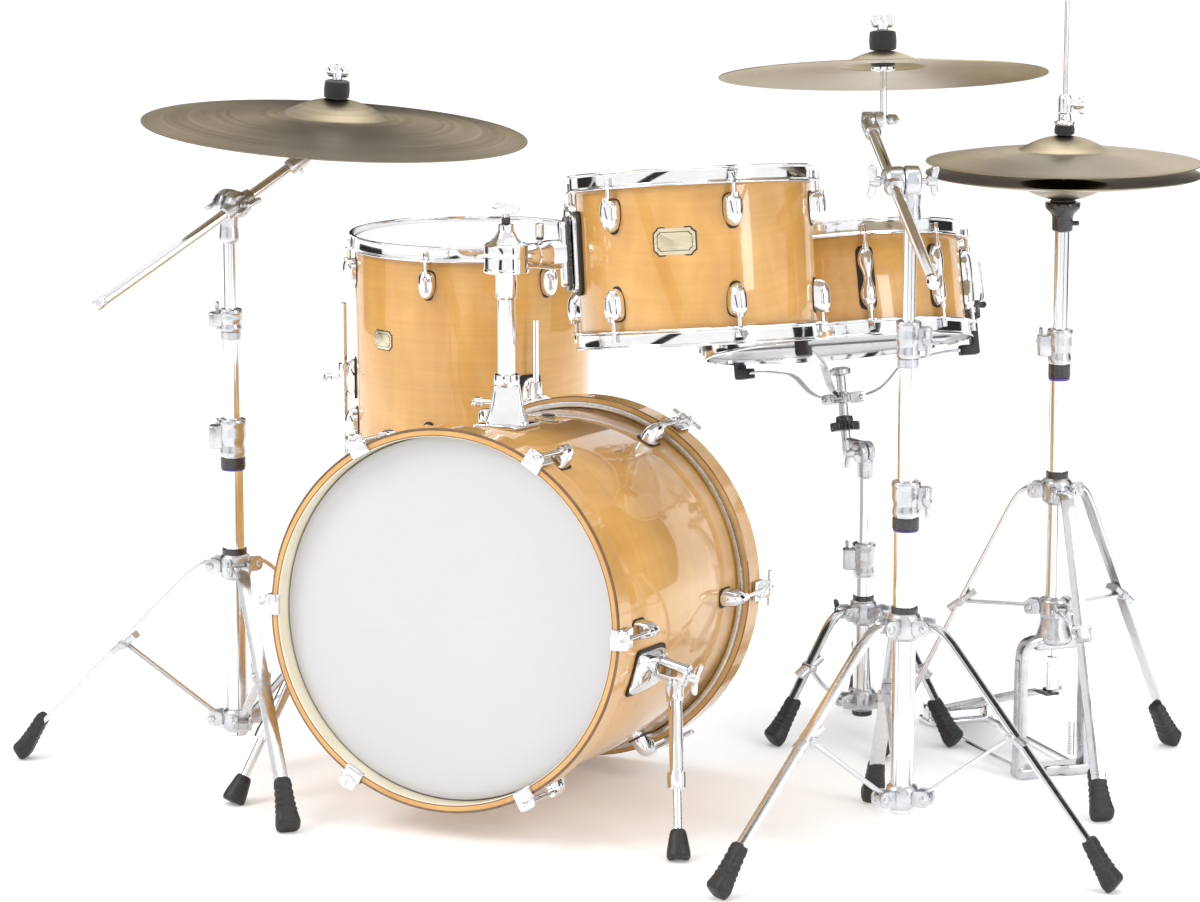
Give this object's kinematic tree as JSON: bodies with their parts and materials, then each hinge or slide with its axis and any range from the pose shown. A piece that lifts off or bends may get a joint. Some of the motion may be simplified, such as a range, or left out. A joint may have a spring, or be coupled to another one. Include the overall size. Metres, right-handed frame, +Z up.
{
  "type": "acoustic drum kit",
  "caption": "Drum kit with a bass drum, hanging tom, floor tom, snare on a basket stand, pedal hi-hat, and crash and ride cymbals on boom stands.",
  "frame": {"origin": "centre of the kit's footprint at floor level", "axes": "+Z up; +Y from the bass drum's front head towards the player; +X towards the crash stand and hi-hat"},
  "size_m": [1.5544, 1.4168, 1.028],
  "materials": {
    "lacquered_maple": "clear gloss lacquer over honey coloured maple",
    "chrome_steel": "bright chrome plate",
    "cast_alloy": "satin cast alloy",
    "cymbal_bronze": "satin turned bronze",
    "drum_head_film": "smooth and coated white film"
  },
  "bodies": {
    "kit": {"bass_shell": "lacquered_maple", "bass_head_front": "drum_head_film", "bass_head_batter": "drum_head_film", "bass_hoop_front": "lacquered_maple", "bass_hoop_batter": "lacquered_maple", "tom_post_base": "chrome_steel", "floor_tom_shell": "lacquered_maple", "floor_tom_head_top": "drum_head_film", "floor_tom_head_bottom": "drum_head_film", "floor_tom_hoop_top": "chrome_steel", "floor_tom_hoop_bottom": "chrome_steel", "crash_stand_base": "chrome_steel", "ride_stand_base": "chrome_steel", "hihat_base": "chrome_steel", "snare_stand_base": "chrome_steel"},
    "spur_right": {"spur_right": "chrome_steel"},
    "spur_leg_right": {"spur_leg_right": "chrome_steel"},
    "spur_left": {"spur_left": "chrome_steel"},
    "spur_leg_left": {"spur_leg_left": "chrome_steel"},
    "tom_post": {"tom_post": "chrome_steel"},
    "tom": {"tom_arm": "cast_alloy", "tom_shell": "lacquered_maple", "tom_head_top": "drum_head_film", "tom_head_bottom": "drum_head_film", "tom_hoop_top": "chrome_steel", "tom_hoop_bottom": "chrome_steel"},
    "floor_tom_leg_1": {"floor_tom_leg_1": "chrome_steel"},
    "floor_tom_leg_2": {"floor_tom_leg_2": "chrome_steel"},
    "floor_tom_leg_3": {"floor_tom_leg_3": "chrome_steel"},
    "snare_stand_tube": {"snare_stand_tube": "chrome_steel"},
    "snare_basket": {"snare_basket_hub": "chrome_steel"},
    "snare_arm_1": {"snare_arm_1": "chrome_steel"},
    "snare_arm_2": {"snare_arm_2": "chrome_steel"},
    "snare_arm_3": {"snare_arm_3": "chrome_steel"},
    "snare_drum": {"snare_shell": "lacquered_maple", "snare_head_top": "drum_head_film", "snare_head_bottom": "drum_head_film", "snare_hoop_top": "chrome_steel", "snare_hoop_bottom": "chrome_steel"},
    "throw_lever": {"snare_throw_lever": "cast_alloy"},
    "hihat_upper": {"hihat_tube": "chrome_steel", "hihat_cymbal_bottom": "cymbal_bronze"},
    "hihat_rod": {"hihat_rod": "chrome_steel"},
    "hihat_pedal": {"hihat_pedal": "chrome_steel"},
    "hihat_top": {"hihat_cymbal_top": "cymbal_bronze"},
    "crash_middle": {"crash_stand_middle": "chrome_steel"},
    "crash_top": {"crash_stand_top": "chrome_steel"},
    "crash_arm": {"crash_boom_arm": "chrome_steel"},
    "crash_tilter": {"crash_tilter": "chrome_steel"},
    "crash_cymbal": {"crash_cymbal": "cymbal_bronze"},
    "ride_middle": {"ride_stand_middle": "chrome_steel"},
    "ride_top": {"ride_stand_top": "chrome_steel"},
    "ride_arm": {"ride_boom_arm": "chrome_steel"},
    "ride_tilter": {"ride_tilter": "chrome_steel"},
    "ride_cymbal": {"ride_cymbal": "cymbal_bronze"}
  },
  "joints": [
    {"name": "spur_fold_right", "type": "hinge", "parent": "kit", "child": "spur_right", "pos_m": [0.18163, -0.43983, 0.20879], "axis": [-0.9744, 0.0145, 0.2245], "range_deg": [0, 40]},
    {"name": "spur_reach_right", "type": "slide", "parent": "spur_right", "child": "spur_leg_right", "axis": [-0.2338, 0.4811, 0.8449], "range_m": [0, 0.025]},
    {"name": "spur_fold_left", "type": "hinge", "parent": "kit", "child": "spur_left", "pos_m": [-0.33283, -0.43983, 0.20879], "axis": [-0.9744, -0.0145, -0.2245], "range_deg": [0, 19]},
    {"name": "spur_reach_left", "type": "slide", "parent": "spur_left", "child": "spur_leg_left", "axis": [0.2338, 0.4811, 0.8449], "range_m": [0, 0.025]},
    {"name": "tom_post_height", "type": "slide", "parent": "kit", "child": "tom_post", "axis": [0, 0, 1], "range_m": [0, 0.035]},
    {"name": "tom_tilt", "type": "hinge", "parent": "tom_post", "child": "tom", "pos_m": [-0.05612, -0.34619, 0.70859], "axis": [0.4368, 0.8979, -0.0539], "range_deg": [-12, 12]},
    {"name": "floor_tom_leg_slide_1", "type": "slide", "parent": "kit", "child": "floor_tom_leg_1", "axis": [0, 0, 1], "range_m": [0, 0.05]},
    {"name": "floor_tom_leg_slide_2", "type": "slide", "parent": "kit", "child": "floor_tom_leg_2", "axis": [0, 0, 1], "range_m": [0, 0.05]},
    {"name": "floor_tom_leg_slide_3", "type": "slide", "parent": "kit", "child": "floor_tom_leg_3", "axis": [0, 0, 1], "range_m": [0, 0.05]},
    {"name": "snare_height", "type": "slide", "parent": "kit", "child": "snare_stand_tube", "axis": [0, 0, 1], "range_m": [-0.025, 0.05]},
    {"name": "snare_tilt", "type": "hinge", "parent": "snare_stand_tube", "child": "snare_basket", "pos_m": [0.2236, 0.1189, 0.396], "axis": [0.5766, 0.817, 0], "range_deg": [-8, 8]},
    {"name": "snare_arm_swing_1", "type": "hinge", "parent": "snare_basket", "child": "snare_arm_1", "pos_m": [0.17742, 0.13414, 0.46517], "axis": [0.9787, 0.1357, 0.1539], "range_deg": [0, 12]},
    {"name": "snare_arm_swing_2", "type": "hinge", "parent": "snare_basket", "child": "snare_arm_2", "pos_m": [0.19409, 0.17197, 0.46082], "axis": [-0.5776, 0.7744, -0.2584], "range_deg": [0, 12]},
    {"name": "snare_arm_swing_3", "type": "hinge", "parent": "snare_basket", "child": "snare_arm_3", "pos_m": [0.15341, 0.16633, 0.45442], "axis": [-0.4011, -0.91, 0.1045], "range_deg": [0, 12]},
    {"name": "snare_drum_lift", "type": "slide", "parent": "snare_basket", "child": "snare_drum", "axis": [-0.1781, 0.1894, 0.9656], "range_m": [0, 0.06]},
    {"name": "snare_throw", "type": "hinge", "parent": "snare_drum", "child": "throw_lever", "pos_m": [0.32227, 0.30201, 0.57805], "axis": [-0.5636, 0.7848, -0.2579], "range_deg": [0, 60]},
    {"name": "hihat_height", "type": "slide", "parent": "kit", "child": "hihat_upper", "axis": [0, 0, 1], "range_m": [-0.04, 0]},
    {"name": "hihat_pedal_hinge", "type": "hinge", "parent": "kit", "child": "hihat_pedal", "pos_m": [0.3201, 0.2365, 0.02], "axis": [0.719, 0.695, 0], "range_deg": [0, 2.3], "stiffness_Nm_per_rad": 30, "springref_deg": -20.05},
    {"name": "hihat_pull", "type": "slide", "parent": "kit", "child": "hihat_rod", "axis": [0, 0, 1], "range_m": [-0.0112, 0]},
    {"name": "hihat_top_spin", "type": "hinge", "parent": "hihat_rod", "child": "hihat_top", "pos_m": [0.5286, 0.0208, 0], "axis": [0, 0, 1], "continuous": true},
    {"name": "crash_middle_slide", "type": "slide", "parent": "kit", "child": "crash_middle", "axis": [0, 0, 1], "range_m": [0, 0.04]},
    {"name": "crash_top_slide", "type": "slide", "parent": "crash_middle", "child": "crash_top", "axis": [0, 0, 1], "range_m": [0, 0.04]},
    {"name": "crash_boom_tilt", "type": "hinge", "parent": "crash_top", "child": "crash_arm", "pos_m": [0.4889, -0.4478, 0.8425], "axis": [-0.8663, -0.4996, 0], "range_deg": [-6, 6]},
    {"name": "crash_cymbal_tilt", "type": "hinge", "parent": "crash_arm", "child": "crash_tilter", "pos_m": [0.38935, -0.29238, 0.89664], "axis": [-0.8663, -0.4996, 0], "range_deg": [-8, 8]},
    {"name": "crash_cymbal_spin", "type": "hinge", "parent": "crash_tilter", "child": "crash_cymbal", "pos_m": [0.3901, -0.2797, 0.9507], "axis": [-0.0879, 0.1655, 0.9823], "continuous": true},
    {"name": "ride_middle_slide", "type": "slide", "parent": "kit", "child": "ride_middle", "axis": [0, 0, 1], "range_m": [-0.03, 0.04]},
    {"name": "ride_top_slide", "type": "slide", "parent": "ride_middle", "child": "ride_top", "axis": [0, 0, 1], "range_m": [-0.03, 0.04]},
    {"name": "ride_boom_tilt", "type": "hinge", "parent": "ride_top", "child": "ride_arm", "pos_m": [-0.4618, -0.4131, 0.7624], "axis": [0.8804, -0.4743, 0], "range_deg": [-6, 6]},
    {"name": "ride_cymbal_tilt", "type": "hinge", "parent": "ride_arm", "child": "ride_tilter", "pos_m": [-0.39793, -0.31268, 0.8252], "axis": [0.8804, -0.4743, 0], "range_deg": [-8, 8]},
    {"name": "ride_cymbal_spin", "type": "hinge", "parent": "ride_tilter", "child": "ride_cymbal", "pos_m": [-0.3743, -0.2826, 0.8494], "axis": [0.0764, -0.0095, 0.997], "continuous": true}
  ],
  "couplings": [
    {"joint": "hihat_pull", "follows": "hihat_pedal_hinge", "m_per_rad": -0.266},
    {"joint": "snare_arm_swing_2", "follows": "snare_arm_swing_1", "ratio": 1},
    {"joint": "snare_arm_swing_3", "follows": "snare_arm_swing_1", "ratio": 1}
  ]
}
